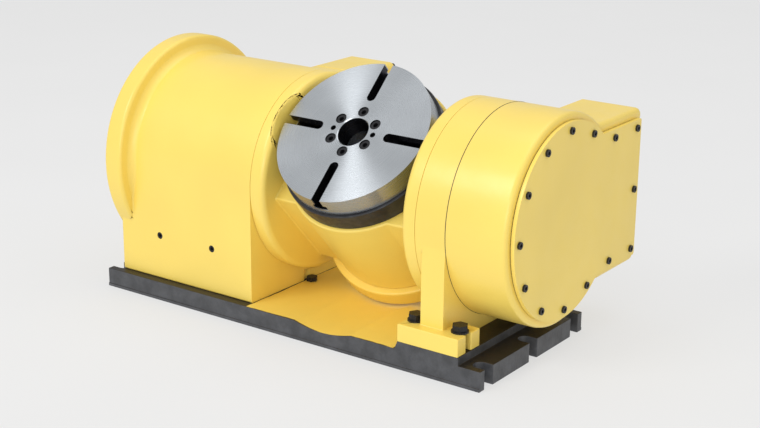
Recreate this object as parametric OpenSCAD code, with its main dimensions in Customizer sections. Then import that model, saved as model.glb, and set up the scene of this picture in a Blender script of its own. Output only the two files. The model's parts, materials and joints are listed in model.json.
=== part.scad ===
// Tilting rotary table: a T-slotted faceplate turns on a cradle, and the cradle tilts
// between a drive housing on the left and a support bracket on the right.
// X runs along the tilt axis, Y to the back, Z up. The origin is on the base's
// underside, straight below the point where the two axes cross.

/* [Base] */
// Height of the tilt axis above the underside
axis_h = 171; // [170:1:206]
// Base's reach to the left of the table axis
base_left = 358; // [352:1:430]
// Base's reach to the right of the table axis
base_right = 224.5; // [216:0.5:270]
// Base's reach to the front of the tilt axis
base_front = 141; // [139:1:170]
// Base's reach to the back of the tilt axis
base_back = 97; // [90:1:120]
// Height of the base plate
base_h = 24.5; // [22:0.5:30]
// Height of the raised pad under the support bracket
pad_h = 10; // [6:1:14]
// Height of the machined band round the foot of the base
band_h = 4; // [2:0.5:8]
// Step from the machined band in to the rough casting
band_step = 1; // [0.5:0.5:2]
// Gap between the swinging cradle and the trough in the base
trough_gap = 1.1; // [0.8:0.1:2]
// Width of the hold-down slots
hold_slot_w = 18; // [14:1:22]
// Depth of the hold-down slots, from the end of the base
hold_slot_len = 20; // [16:1:23]
// Pitch of the hold-down slots across the base
hold_slot_pitch = 99; // [90:1:104]

/* [Left housing] */
// Distance from the table axis to the left housing
left_gap = 120; // [118:1:140]
// Length of the left housing
left_len = 222; // [210:1:240]
// Outer radius of both round housings
housing_r = 127.5; // [125:0.5:131]
// Wall of the left housing
housing_wall = 13; // [9:1:15]
// Radius of the big rim at the left end
rim_r = 148.5; // [144:0.5:152]
// Width of the big rim
rim_w = 28; // [20:1:36]
// Rim's overhang beyond the housing's left end
rim_over = 6; // [3:1:9]
// Radius of the fillet from the rim to the housing
rim_fillet = 13; // [8:1:16]
// Rounding of the rim's own edges
rim_round = 5; // [2:1:8]
// Radius of the round end cover
end_cover_r = 122; // [112:1:126]
// Thickness of the round end cover
end_cover_t = 4; // [3:1:8]

/* [Tilt drive] */
// Teeth on the tilt worm wheel
tilt_teeth = 72; // [60:1:80]
// Module of both worm drives
worm_module = 1.6; // [1.5:0.05:1.65]
// Pitch radius of both worms
worm_pitch_r = 14.4; // [13.5:0.1:16]
// Side play between thread and tooth, each side
worm_play = 0.65; // [0.6:0.05:0.9]
// Width of the worm wheels
worm_wheel_w = 22; // [18:1:26]
// Threaded length of the worms
worm_len = 54; // [40:1:60]
// Distance from the housing's right face to the tilt worm
tilt_worm_inset = 45; // [42:1:50]
// Radius of the left trunnion's bearing seat
trunnion_r = 45; // [40:1:48]
// Radius of the left trunnion's wheel seat
wheel_seat_r = 40; // [36:1:42]
// Radius of the left trunnion's tail
tail_r = 30; // [24:1:34]
// Radius of the tilt brake disc
brake_r = 92; // [80:1:100]
// Thickness of the tilt brake disc
brake_t = 6; // [4:1:8]

/* [Rear motor cover] */
// Width of the tilt motor's cover
rear_w = 80; // [74:1:88]
// Back of both motor covers, behind the tilt axis
rear_back = 185; // [178:1:200]
// Top of the tilt motor's cover above the tilt axis
rear_top = 107; // [104:1:112]
// Height of the tilt motor's cover
rear_h = 78; // [72:1:86]
// Face on the housing where the tilt motor is bolted, behind the tilt axis
motor_face = 106; // [104:1:112]
// Wall of the sheet covers
cover_wall = 3; // [2:0.5:4]
// Side of the square tilt motor
tilt_motor_w = 58; // [50:1:60]

/* [Support bracket] */
// Distance from the table axis to the support bracket
right_gap = 124.5; // [124:0.5:130]
// Width of the bracket's ring
ring_w = 41; // [38:1:48]
// Thickness of the bracket's upright wall
upright_w = 32; // [28:1:36]
// Height above the base where the upright's front fades into the ring
upright_top = 106; // [100:1:112]
// Height of the bracket's feet
foot_h = 22; // [18:1:26]
// Depth of the bracket's feet, front to back
foot_depth = 47; // [42:1:56]
// Feet's reach past the upright, towards the cradle
foot_reach_in = 22.7; // [21.7:0.5:24]
// Feet's reach past the upright, to the right
foot_reach_out = 29; // [26:1:32]
// Width of the bolt notches in the feet
notch_w = 10.6; // [10.4:0.2:12]
// Bolt line, from the front edge of the feet
notch_inset = 23; // [21:1:26]
// Radius of the right trunnion
right_trunnion_r = 40; // [36:1:44]

/* [Right housing] */
// Length of the right housing
right_len = 79; // [76:1:95]
// Wall of the right housing
right_wall = 7; // [5:1:9]
// Half height of the rear box
box_half_h = 99; // [96:1:104]
// Back face of the rear box, behind the tilt axis
box_back = 189; // [184:1:200]
// Rounding of the rear box corners
box_round = 9; // [4:1:10]
// Thickness of the side cover
side_cover_t = 4.5; // [3:0.5:8]
// Thickness of the cover's gasket
gasket_t = 1; // [0.5:0.5:1.5]
// Step from the round housing in to the side cover
cover_inset = 9; // [7:0.5:9.5]
// Step from the rear box in to the side cover
box_inset = 11; // [9:0.5:12]
// Step from the side cover's edge in to its screws
screw_inset = 10.5; // [9:0.5:11]

/* [Cradle] */
// Tilt at rest, from level
rest_tilt = 43; // [0:1:90]
// Gap between the cradle and the housings beside it
side_gap = 0.6; // [0.4:0.1:1.2]
// Thickness of the cradle's round cheeks
cheek_w = 20; // [19:0.5:23]
// Rounding on the inner edge of the cheeks
cheek_round = 8; // [4:1:10]
// Height of the cradle's flat top above the tilt axis
deck_h = 62.5; // [61:0.5:66]
// Half depth of the cradle's beam, front to back
beam_half = 84; // [80:1:90]
// Radius of the round spindle housing
spindle_housing_r = 108; // [107:0.5:110]
// Bottom of the spindle housing's round wall below the tilt axis
spindle_housing_low = 72; // [70:1:76]
// Radius of the bottom cap
cap_r = 116.5; // [113:0.5:118]
// Thickness of the bottom cap
cap_t = 25; // [22:1:26]

/* [Spindle and faceplate] */
// Radius of the faceplate
plate_r = 100; // [96:1:100]
// Thickness of the faceplate
plate_t = 27; // [26:1:28]
// Radius of the centre bore
bore_r = 20; // [18:1:22]
// Chamfer at the mouth of the centre bore
bore_chamfer = 1; // [0.5:0.5:2]
// Width of the T-slots at the face
slot_w = 12; // [10:1:14]
// Width of the T-slots below the face
slot_head_w = 20; // [18:1:22]
// Depth of the narrow part of the T-slots
slot_neck = 11; // [9:1:12]
// Height of the wide part of the T-slots
slot_head_h = 8.5; // [7:0.5:9]
// Inner end of the T-slots, from the centre
slot_start = 45; // [44:1:52]
// Radius of the circle of faceplate screws
screw_circle_r = 29; // [28.5:0.5:31]
// Radius of the counterbores for the faceplate screws
counterbore_r = 7; // [6.5:0.25:7.25]
// Radius of the two dowel holes in the faceplate
dowel_hole_r = 3.5; // [3:0.5:4]
// Radius of the black seal ring under the faceplate
seal_ring_r = 104; // [102:0.5:105]
// Gap between the seal ring and the faceplate
seal_gap = 0.5; // [0.4:0.1:1]
// Radius of the spindle in its upper bearing
spindle_r = 60; // [56:1:62]
// Radius of the spindle under the worm wheel
spindle_mid_r = 46; // [42:1:48]
// Teeth on the rotary worm wheel
rotary_teeth = 72; // [66:1:74]

/* [Rotary drive] */
// Teeth on the two transfer gears
gear_teeth = 36; // [30:1:40]
// Width of the transfer gears
gear_w = 5; // [4:0.5:5.5]
// Side play between gear teeth
gear_play = 0.25; // [0.2:0.05:0.4]
// Radius of the drive shaft
drive_shaft_r = 10; // [8:1:12]
// Radius of the motor pulley
motor_pulley_r = 20; // [16:1:24]
// Radius of the driven pulley
drive_pulley_r = 40; // [34:1:46]
// Width of the belt
belt_w = 12; // [9:1:14]
// Thickness of the belt
belt_t = 3; // [2:0.5:4]
// Motor's distance behind the tilt axis
motor_back = 126; // [118:1:128]
// Side of the square rotary motor
rotary_motor_w = 76; // [64:1:80]
// Length of the rotary motor
rotary_motor_len = 30; // [26:1:33]

/* [Fasteners and fits] */
// Running clearance between a shaft and its bearing
run_fit = 0.05; // [0.02:0.01:0.1]
// Free gap between parts that pass each other
free_gap = 1; // [0.6:0.1:1.5]
// Radius of the M10 hex bolts' shanks
hex_bolt_r = 5; // [4:0.5:5]
// Across-flats size of the hex bolts
hex_flats = 17; // [16:1:18]
// Radius of the heads of the cover screws
cover_screw_r = 4.4; // [3.5:0.1:5]
// Radius of the threads of the cover screws
cover_thread_r = 2.5; // [2:0.5:3]

/* [Hidden] */
$fn = 96;

yellow = [1, 0.85, 0.36];
slate = [0.25, 0.25, 0.27];
steel = [0.75, 0.77, 0.8];
black = [0.1, 0.1, 0.1];
bronze = [0.72, 0.52, 0.25];
bearing_grey = [0.6, 0.62, 0.65];

eps = 0.01;
screw_gap = 0.3;                             // round the shank of a screw in its clear hole
head_gap = 0.7;                              // round the head of a screw in its counterbore
edge_trim = 8;                               // shoulder beyond a bearing's bore
far = 200;                                   // further than any part reaches
ring_steps = 180;                            // facets of the large turned shapes
screw_steps = 48;
thread_steps = 32;
socket_depth = 0.6;                          // of a screw head's height
socket_share = 0.55;                         // of a screw head's radius
small_balls = 9;
past = 2;                                    // overrun of a cut past the face it opens
base_mid = (base_back - base_front) / 2;     // middle of the base, front to back
housing_front = -housing_r;                  // flat front of the housings
housing_back = 2 * base_mid + housing_r;     // flat back of their feet
left_x = -left_gap - left_len;               // left end of the left housing
rim_x = left_x - rim_over;
pad_top = base_h + pad_h;
ring_end = right_gap + ring_w;
upright_x = ring_end - upright_w;
foot_x0 = upright_x - foot_reach_in;
foot_x1 = ring_end + foot_reach_out;
right_end = ring_end + right_len;
foot_top = pad_top + foot_h;
bolt_washer_r = hex_flats / 2 + 2;
bolt_washer_t = 2;
bolt_head_h = 7;
bolt_top = foot_top + bolt_washer_t + bolt_head_h;
// the round housings hang low over the rear feet, so foot and bolts keep clear of them
rear_foot_y = sqrt(max(0, pow(housing_r, 2) - pow(axis_h - foot_top - free_gap, 2))) + free_gap;
rear_bolt_y = sqrt(max(0, pow(housing_r, 2) - pow(axis_h - bolt_top, 2))) + bolt_washer_r
    + free_gap;

// worm drives
worm_pitch = PI * worm_module;
thread_root = 1.15;                          // in modules, in from the pitch circle
thread_crest = 0.85;
wheel_root = 1.05;
wheel_crest = 0.75;
wheel_root_share = 0.62;                     // of the pitch, along the teeth and the thread
wheel_tip_share = 0.3;
thread_low_share = 0.3;
thread_top_share = 0.17;
thread_sink = 0.6;                           // thread's foot under the core's surface
thread_turns = 8;
worm_shoulder = 4;                           // from the thread's end to the bearing
lug_wall = 3;
lug_past = 2;                                // lug beyond the bearing's far side
lug_extra = 3;                               // lug wider than its bearing
worm_core_r = worm_pitch_r - thread_root * worm_module;
worm_crest_r = worm_pitch_r + thread_crest * worm_module;
tilt_wheel_r = tilt_teeth * worm_module / 2;
tilt_worm_z = tilt_wheel_r + worm_pitch_r;
tilt_worm_x = -left_gap - tilt_worm_inset;
rotary_wheel_r = rotary_teeth * worm_module / 2;
rotary_worm_y = rotary_wheel_r + worm_pitch_r;
worm_journal_r = 8;
worm_bearing_r = 16;
worm_bearing_w = 9;
worm_reach = worm_len / 2 + worm_shoulder + worm_bearing_w;   // from a worm's middle past its bearing
thread_sides = 20;                           // facets in one turn of a worm thread

// left housing, from right to left
seat_w = 18;                                 // wall that carries the trunnion bearing
web_inset = 130;
web_x = -left_gap - web_inset;               // right face of the inner web
web_w = 18;
ball_wall = 22;                              // trunnion bearings, bore to outside
tail_wall = 20;
spindle_wall = 24;
tail_run = 58;                               // from the web to the trunnion's tail end
brake_run = 38;                              // from the web to the brake disc
brake_hub_w = 6;
brake_hub_r = tail_r + 8;
caliper_w = 12;
caliper_depth = 14;
tail_nut_w = 10;
tail_nut_wall = 12;
nut_slot_w = 6;
nut_slot_floor = 8;                          // nut's wall left under its slots
cavity_r = housing_r - housing_wall;
trunnion_bearing_r = trunnion_r + ball_wall;
tail_bearing_r = tail_r + tail_wall;
tail_end = web_x - tail_run;
brake_x = web_x - brake_run;

// cradle, in its own level frame
cheek_left = -left_gap + side_gap;           // outer face of the left cheek
cheek_right = right_gap - side_gap;
inner_left = cheek_left + cheek_w;           // inner faces of the cheeks
inner_right = cheek_right - cheek_w;
ring_rise = 25.5;                            // from the cradle's deck to the faceplate
plate_top = deck_h + ring_rise + plate_t;
plate_low = plate_top - plate_t;
flange_r = 64;                               // trunnion flanges
gear_flange_r = 48;                          // right flange, round the worm gear
flange_t = 9;
cavity_top = 34;                             // shoulder under the upper bearing
swing_r = sqrt(pow(spindle_housing_low + cap_t, 2) + pow(cap_r, 2));
upper_bearing_r = spindle_r + spindle_wall;
upper_bearing_h = 20;
lower_step = 4;
lower_r = spindle_mid_r - lower_step;        // spindle in its lower bearing
lower_bearing_r = lower_r + spindle_wall;
lower_bearing_h = 16;
lower_seat = -46;                            // top of the lower bearing
cap_low = -spindle_housing_low - cap_t;
upper_seat = cavity_top + edge_trim;         // floor under the upper bearing
cavity_low = lower_seat + 14;                // floor of the worm wheel's space
wheel_cavity_r = 74;
gear_module = rotary_worm_y / gear_teeth;    // the gears span from tilt axis to worm
gear_root = 1.15;                            // in modules, in from the pitch circle
gear_crest = 0.8;
gear_root_share = 1.45;                      // of half a pitch
gear_tip_share = 0.55;
gear_inset = 4.5;
gear_x = inner_right + gear_inset;           // left face of the transfer gears
gear_tip_r = rotary_worm_y / 2 + gear_crest * gear_module;
shaft_journal_r = 8;

// right housing, from left to right
pulley_lip = 2;                              // flange on each side of a pulley
pulley_rise = 4;                             // of a pulley's flanges past the belt
pulley_gap = 4;                              // from the pulleys to the cover's plane
pulley_x = right_end - belt_w - pulley_lip - pulley_gap;   // left face of the pulleys
motor_plate_t = 5;
motor_plate_x = pulley_x - pulley_lip - 1.5 * free_gap - motor_plate_t;
motor_x = motor_plate_x - rotary_motor_len;

// ---------------------------------------------------------------- shared shapes

module on_axis() {
    translate([0, 0, axis_h]) children();
}

module tilted() {
    on_axis() rotate([rest_tilt, 0, 0]) children();
}

// solid disc from x0 to x1 about the X axis
module disc(x0, x1, r) {
    translate([x0, 0, 0]) rotate([0, 90, 0]) cylinder(h = x1 - x0, r = r);
}

// disc with a bore
module washer(x0, x1, r_out, r_in) {
    difference() {
        disc(x0, x1, r_out);
        disc(x0 - past, x1 + past, r_in);
    }
}

// flat outline in (Y, Z), extruded from x0 to x1
module along_x(x0, x1) {
    translate([x0, 0, 0]) rotate([90, 0, 90]) linear_extrude(x1 - x0) children();
}

module at_x(x) {
    translate([x, 0, 0]) rotate([0, 90, 0]) children();
}

// rectangle from (x0, y0) to (x1, y1) with round corners
module round_rect(x0, y0, x1, y1, r) {
    translate([x0 + r, y0]) square([x1 - x0 - 2 * r, y1 - y0]);
    translate([x0, y0 + r]) square([x1 - x0, y1 - y0 - 2 * r]);
    for (x = [x0 + r, x1 - r], y = [y0 + r, y1 - r])
        translate([x, y]) circle(r);
}

module box(low, high) {
    translate(low) cube(high - low);
}

// ball bearing about +Z, standing on Z = 0
module bearing(r_in, r_out, h, balls) {
    wall = (r_out - r_in) / 4;
    mid = (r_in + r_out) / 2;
    ball_gap = 0.4;
    race_gap = 0.15;
    ball_r = min(0.4 * h, mid * sin(180 / balls) - ball_gap, 1.7 * wall);
    difference() {
        union() {
            difference() {
                cylinder(h = h, r = r_out);
                translate([0, 0, -past]) cylinder(h = h + 2 * past, r = r_out - wall);
            }
            difference() {
                cylinder(h = h, r = r_in + wall);
                translate([0, 0, -past]) cylinder(h = h + 2 * past, r = r_in + run_fit);
            }
        }
        rotate_extrude() translate([mid, h / 2]) circle(ball_r + race_gap);
    }
    for (i = [0 : balls - 1])
        rotate(i * 360 / balls) translate([mid, 0, h / 2]) sphere(ball_r, $fn = thread_steps);
}

// hexagon socket cap screw, head on top of Z = 0, shank down
module socket_screw(head_r, head_h, shank_r, shank_len) {
    difference() {
        cylinder(h = head_h, r = head_r, $fn = screw_steps);
        translate([0, 0, head_h * (1 - socket_depth)])
            cylinder(h = head_h, r = head_r * socket_share, $fn = 6);
    }
    translate([0, 0, -shank_len])
        cylinder(h = shank_len + eps, r = shank_r, $fn = thread_steps);
}

// hexagon bolt with a washer under its head, shank down
module hex_bolt(shank_len) {
    cylinder(h = bolt_washer_t, r = bolt_washer_r, $fn = screw_steps);
    translate([0, 0, bolt_washer_t - eps])
        cylinder(h = bolt_head_h, r = hex_flats / 2 / cos(30), $fn = 6);
    translate([0, 0, -shank_len])
        cylinder(h = shank_len + eps, r = hex_bolt_r, $fn = screw_steps);
}

// copies round a circle of radius r about Z
module around(count, r, first = 0) {
    for (i = [0 : count - 1])
        rotate(first + i * 360 / count) translate([r, 0, 0]) children();
}

// outline of a spur wheel; root and crest are measured from the pitch circle
module toothed(teeth, pitch_r, root, crest, root_w, crest_w) {
    sink = 0.5;
    union() {
        circle(pitch_r - root, $fn = ring_steps);
        for (i = [0 : teeth - 1]) rotate(i * 360 / teeth)
            polygon([[pitch_r - root - sink, -root_w / 2], [pitch_r + crest, -crest_w / 2],
                [pitch_r + crest, crest_w / 2], [pitch_r - root - sink, root_w / 2]]);
    }
}

// worm wheel about +Z, centred on Z = 0, with a hub bore
module worm_wheel(teeth, bore) {
    pitch_r = teeth * worm_module / 2;
    width_at_root = worm_pitch * wheel_root_share - worm_play;
    width_at_tip = worm_pitch * wheel_tip_share - worm_play / 2;
    translate([0, 0, -worm_wheel_w / 2]) linear_extrude(worm_wheel_w) difference() {
        toothed(teeth, pitch_r, wheel_root * worm_module, wheel_crest * worm_module,
            width_at_root, width_at_tip);
        circle(bore);
    }
}

// one ring of the thread: corners from the core to the crest
function thread_ring(a, run) =
    let (low = worm_core_r - thread_sink, high = worm_crest_r,
        half_low = worm_pitch * thread_low_share - worm_play / 2,
        half_high = worm_pitch * thread_top_share - worm_play / 2,
        z = run * a / 360)
    [[low * cos(a), low * sin(a), z - half_low], [high * cos(a), high * sin(a), z - half_high],
        [high * cos(a), high * sin(a), z + half_high], [low * cos(a), low * sin(a), z + half_low]];

// right-hand thread about Z, centred on Z = 0, with a crest on +X at Z = 0
module thread() {
    steps = thread_turns * thread_sides;
    rings = [for (i = [0 : steps]) each thread_ring((i - steps / 2) * 360 / thread_sides,
        worm_pitch)];
    skin = [for (i = [0 : steps - 1], k = [0 : 3])
        let (a = 4 * i + k, b = 4 * i + (k + 1) % 4) each [[a, b, b + 4], [a, b + 4, a + 4]]];
    ends = [[3, 2, 1, 0], [4 * steps, 4 * steps + 1, 4 * steps + 2, 4 * steps + 3]];
    polyhedron(points = rings, faces = concat(skin, ends), convexity = 10);
}

// worm about Z, centred on Z = 0, with journals reaching down and up
module worm(down, up) {
    thread();
    translate([0, 0, -worm_len / 2]) cylinder(h = worm_len, r = worm_core_r, $fn = screw_steps);
    translate([0, 0, -down]) cylinder(h = down + up, r = worm_journal_r, $fn = screw_steps);
}

// ---------------------------------------------------------------- base and left end

module hold_slots(side) {
    for (k = [-1 : 1])
        translate([side, base_mid + k * hold_slot_pitch, -past]) {
            reach = hold_slot_len - hold_slot_w / 2;
            dir = sign(side);
            translate([-dir * reach, 0, 0]) cylinder(h = base_h + pad_h, r = hold_slot_w / 2);
            box([min(-dir * reach, dir * past), -hold_slot_w / 2, 0],
                [max(-dir * reach, dir * past), hold_slot_w / 2, base_h + pad_h]);
        }
}

module base_casting() {
    color(slate) difference() {
        union() {
            box([-base_left, -base_front, 0], [base_right, base_back, band_h]);
            box([-base_left, -base_front + band_step, 0],
                [base_right, base_back - band_step, base_h]);
            rotate([90, 0, 0]) translate([0, 0, -base_back + band_step])
                linear_extrude(base_front + base_back - 2 * band_step)
                    polygon([[foot_x0 - pad_h / 2, base_h - past], [foot_x0, pad_top],
                        [foot_x1, pad_top], [foot_x1, base_h - past]]);
        }
        translate([0, base_back + past, axis_h]) rotate([90, 0, 0])
            cylinder(h = base_front + base_back + 2 * past, r = swing_r + trough_gap);
        hold_slots(-base_left);
        hold_slots(base_right);
        bracket_bolt_places(pad_top) tapped_hole(hex_bolt_r, bracket_thread);
        foot_bolt_places() tapped_hole(foot_bolt_r, foot_thread);
    }
}

module tapped_hole(r, depth) {
    translate([0, 0, -depth]) cylinder(h = depth + past, r = r);
}

bracket_thread = 20;
foot_bolt_r = 4;
foot_bolt_flats = 13;
foot_bolt_h = 6;
foot_thread = 14;
foot_bolt_x = -left_gap + 8;
foot_bolt_y = [base_mid + 6, housing_back - 16];
foot_relief_r = 10;

module foot_bolt_places() {
    for (y = foot_bolt_y) translate([foot_bolt_x, y, base_h]) children();
}

module housing_foot_bolts() {
    color(black) foot_bolt_places() {
        cylinder(h = foot_bolt_h, r = foot_bolt_flats / 2 / cos(30), $fn = 6);
        translate([0, 0, -foot_thread]) cylinder(h = foot_thread + eps, r = foot_bolt_r);
    }
}

rear_x0 = tilt_worm_x - rear_w / 2;
rear_x1 = tilt_worm_x + rear_w / 2;
rear_low = rear_top - rear_h;

module rear_outline(inset) {
    round_rect(rear_x0 + inset, rear_low + inset, rear_x1 - inset, rear_top - inset,
        box_round - inset);
}

boss_start = 20;                             // motor's boss starts well inside the housing

// profile of the rim with its fillet, turned about the tilt axis
module rim() {
    inner_x = rim_x + rim_w;
    sink = 0.4;                              // the fillet runs in just under both surfaces
    at_x(0) rotate_extrude($fn = ring_steps) {
        translate([0, rim_x]) square([rim_r - rim_round, rim_w]);
        translate([0, rim_x + rim_round]) square([rim_r, rim_w - 2 * rim_round]);
        for (x = [rim_x + rim_round, inner_x - rim_round])
            translate([rim_r - rim_round, x]) circle(rim_round, $fn = thread_steps);
    }
    at_x(0) rotate_extrude($fn = ring_steps) difference() {
        translate([0, inner_x - 1]) square([housing_r + rim_fillet - 2, rim_fillet]);
        translate([housing_r + rim_fillet - sink, inner_x + rim_fillet - sink])
            circle(rim_fillet, $fn = 2 * thread_steps);
    }
}

// round body, foot, rim and the seat of the tilt motor
module left_housing_body() {
    disc(left_x, -left_gap, housing_r);
    box([left_x, housing_front, base_h - axis_h], [-left_gap, housing_back, 0]);
    intersection() {
        rim();
        box([rim_x - past, -rim_r - past, base_h - axis_h], [0, rim_r + past, rim_r + past]);
    }
    translate([0, motor_face, 0]) rotate([90, 0, 0]) linear_extrude(motor_face - boss_start)
        rear_outline(0);
}

// two lugs in the gear space that carry the tilt worm's bearings
module worm_lugs() {
    half = worm_bearing_r + lug_wall;
    for (y = [-worm_reach - lug_past, worm_reach - worm_bearing_w - lug_extra + lug_past])
        box([tilt_worm_x - half - past, y, tilt_worm_z - half],
            [tilt_worm_x + half + past, y + worm_bearing_w + lug_extra, cavity_r + past]);
}

module left_housing() {
    color(yellow) on_axis() difference() {
        union() {
            difference() {
                left_housing_body();
                disc(left_x - rim_w, web_x - web_w, cavity_r);
                disc(web_x, -left_gap - seat_w, cavity_r);
                box([left_x + housing_wall, housing_front + housing_wall,
                    base_h - axis_h - past],
                    [-left_gap - seat_w, housing_back - housing_wall, -cavity_r + foot_pocket]);
            }
            worm_lugs();
        }
        disc(web_x - web_w - past, web_x + past, tail_bearing_r);
        disc(-left_gap - seat_w - past, -left_gap + past, trunnion_bearing_r);
        translate([tilt_worm_x, -worm_reach - worm_shoulder, tilt_worm_z]) rotate([-90, 0, 0])
            cylinder(h = worm_reach + worm_shoulder + motor_face + past, r = worm_bearing_r);
        translate([0, rear_back, 0]) rotate([90, 0, 0]) linear_extrude(rear_back - motor_face)
            rear_outline(-cover_gap);
        plug_places() tapped_hole(plug_r, plug_depth);
        end_screw_places() tapped_hole(cover_thread_r, cover_grip);
        rear_screw_places() tapped_hole(cover_thread_r, cover_grip);
        foot_bolt_relief();
    }
}

cover_gap = 0.3;                             // round the rear cover where the housing bulges
foot_pocket = 40;                            // hollow of the foot, up into the round cavity
cover_grip = 12;                             // thread of the cover screws in the housings
cover_head_h = 4;
cover_spigot = 8;

module foot_bolt_relief() {
    translate([0, 0, -axis_h]) foot_bolt_places()
        cylinder(h = foot_thread, r = foot_relief_r);
}

plug_r = 4.6;
plug_depth = 8;
plug_sink = 0.6;                             // plug's face below the housing's
plug_key_r = 2.4;
plug_drop = 88;                              // plugs below the tilt axis
plug_first = 68;                             // first plug, from the left end
plug_pitch = 89;

module plug_places() {
    for (k = [0, 1])
        translate([left_x + plug_first + k * plug_pitch, housing_front, -plug_drop])
            rotate([90, 0, 0]) children();
}

module housing_plugs() {
    color(black) on_axis() plug_places() difference() {
        translate([0, 0, 1 - plug_depth]) cylinder(h = plug_depth - 1 - plug_sink, r = plug_r);
        translate([0, 0, -plug_depth / 2]) cylinder(h = plug_depth, r = plug_key_r, $fn = 6);
    }
}

end_screw_inset = 7;

module end_screw_places() {
    at_x(rim_x) rotate([180, 0, 0]) around(8, end_cover_r - end_screw_inset, 22.5) children();
}

module left_end_cover() {
    color(yellow) on_axis() difference() {
        union() {
            disc(rim_x - end_cover_t, rim_x, end_cover_r);
            disc(rim_x - eps, rim_x + cover_spigot, cavity_r - cover_gap);
        }
        end_screw_places() translate([0, 0, -cover_grip])
            cylinder(h = cover_grip + 2 * end_cover_t, r = cover_thread_r + screw_gap);
    }
}

module end_cover_screws() {
    color(black) on_axis() end_screw_places() translate([0, 0, end_cover_t])
        socket_screw(cover_screw_r, cover_head_h, cover_thread_r, cover_grip);
}

rear_inset = 6.5;                            // rear cover's screws in from its outline
rear_post_r = 5.5;
rear_socket_z = rear_low + 22;               // cable connector in the rear cover
box_socket_z = -box_half_h + 26;             // and in the right housing

module rear_screw_places() {
    for (x = [rear_x0 + rear_inset, rear_x1 - rear_inset],
        z = [rear_low + rear_inset, rear_top - rear_inset])
        translate([x, motor_face, z]) rotate([-90, 0, 0]) children();
}

module rear_motor_cover() {
    depth = rear_back - motor_face;
    color(yellow) on_axis() difference() {
        translate([0, rear_back, 0]) rotate([90, 0, 0]) linear_extrude(depth) rear_outline(0);
        difference() {
            translate([0, rear_back - cover_wall, 0]) rotate([90, 0, 0])
                linear_extrude(depth) rear_outline(cover_wall);
            rear_screw_places() cylinder(h = depth, r = rear_post_r);
        }
        rear_screw_places() translate([0, 0, -past])
            cylinder(h = depth + 2 * past, r = cover_thread_r + screw_gap);
        translate([tilt_worm_x, rear_back - cover_wall - past, rear_socket_z])
            rotate([-90, 0, 0]) cylinder(h = cover_wall + 2 * past, r = connector_r);
    }
}

module rear_cover_screws() {
    depth = rear_back - motor_face;
    color(black) on_axis() rear_screw_places() translate([0, 0, depth])
        socket_screw(cover_screw_r, cover_head_h, cover_thread_r, depth + cover_grip - past);
}

connector_r = 9;
socket_back = 5;                             // connector's body behind the wall

module connector() {
    difference() {
        union() {
            translate([0, 0, -socket_back]) cylinder(h = socket_back + 4, r = connector_r);
            cylinder(h = 3, r = connector_r + 3);
        }
        translate([0, 0, -2]) cylinder(h = 2 * socket_back, r = connector_r - 2);
    }
    translate([0, 0, 1 - socket_back]) cylinder(h = socket_back + 1, r = connector_r / 2);
}

module cable_connectors() {
    color(bearing_grey) on_axis() {
        translate([tilt_worm_x, rear_back, rear_socket_z]) rotate([-90, 0, 0]) connector();
        translate([ring_end + right_len / 2, box_back, box_socket_z])
            rotate([-90, 0, 0]) connector();
    }
}

// ---------------------------------------------------------------- tilt drive

module at_tilt_worm() {
    translate([tilt_worm_x, 0, tilt_worm_z]) rotate([-90, 0, 0]) children();
}

module tilt_motor() {
    half = tilt_motor_w / 2;
    cap_len = 12;
    bolt_inset = 5;
    body_len = rear_back - motor_face - cover_wall - 1.5 * cap_len;
    color(black) on_axis() translate([tilt_worm_x, motor_face, tilt_worm_z])
        rotate([-90, 0, 0]) difference() {
            union() {
                linear_extrude(body_len) round_rect(-half, -half, half, half, motor_round);
                translate([0, 0, -worm_shoulder])
                    cylinder(h = worm_shoulder + eps, r = worm_bearing_r - run_fit);
                translate([0, 0, body_len - eps]) cylinder(h = cap_len, r = half - motor_round);
            }
            translate([0, 0, -worm_shoulder - past])
                cylinder(h = shaft_grip + worm_shoulder + 2 * past, r = motor_shaft_r + screw_gap);
            for (x = [-1, 1], y = [-1, 1])
                translate([x * (half - bolt_inset), y * (half - bolt_inset), -past])
                cylinder(h = body_len + 2 * past, r = motor_hole_r);
        }
}

motor_shaft_r = 5;
motor_round = 6;
motor_hole_r = 2.5;
shaft_grip = 8;                              // motor's shaft inside its body
coupling_start = 6;                          // from the bearing to the coupling
coupling_len = 20;
coupling_r = 12;

module tilt_worm_bearings() {
    color(bearing_grey) on_axis() at_tilt_worm() {
        translate([0, 0, worm_reach - worm_bearing_w])
            bearing(worm_journal_r, worm_bearing_r, worm_bearing_w, small_balls);
        translate([0, 0, -worm_reach])
            bearing(worm_journal_r, worm_bearing_r, worm_bearing_w, small_balls);
    }
}

// the thread's crest faces down on to a gap between two teeth of the wheel
module tilt_worm() {
    color(steel) on_axis() at_tilt_worm() rotate(90) worm(worm_reach, worm_reach + coupling_start);
}

// grooved coupling on the end of the worm, with the motor's shaft in its other half
module motor_coupling() {
    start = worm_reach + coupling_start;
    groove = 1.5;
    color(bearing_grey) on_axis() at_tilt_worm() {
        difference() {
            translate([0, 0, start]) cylinder(h = coupling_len, r = coupling_r);
            for (share = [0.35, 0.55]) translate([0, 0, start + share * coupling_len])
                difference() {
                    cylinder(h = groove, r = coupling_r + past);
                    translate([0, 0, -past]) cylinder(h = groove + 2 * past, r = motor_shaft_r + 2);
                }
        }
        translate([0, 0, start + coupling_len - eps])
            cylinder(h = motor_face + shaft_grip - start - coupling_len, r = motor_shaft_r);
    }
}

module tilt_worm_wheel() {
    color(bronze) tilted() at_x(tilt_worm_x) rotate(tilt_mesh)
        worm_wheel(tilt_teeth, wheel_seat_r);
}

tilt_mesh = 180 - rest_tilt + 180 / tilt_teeth;

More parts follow.
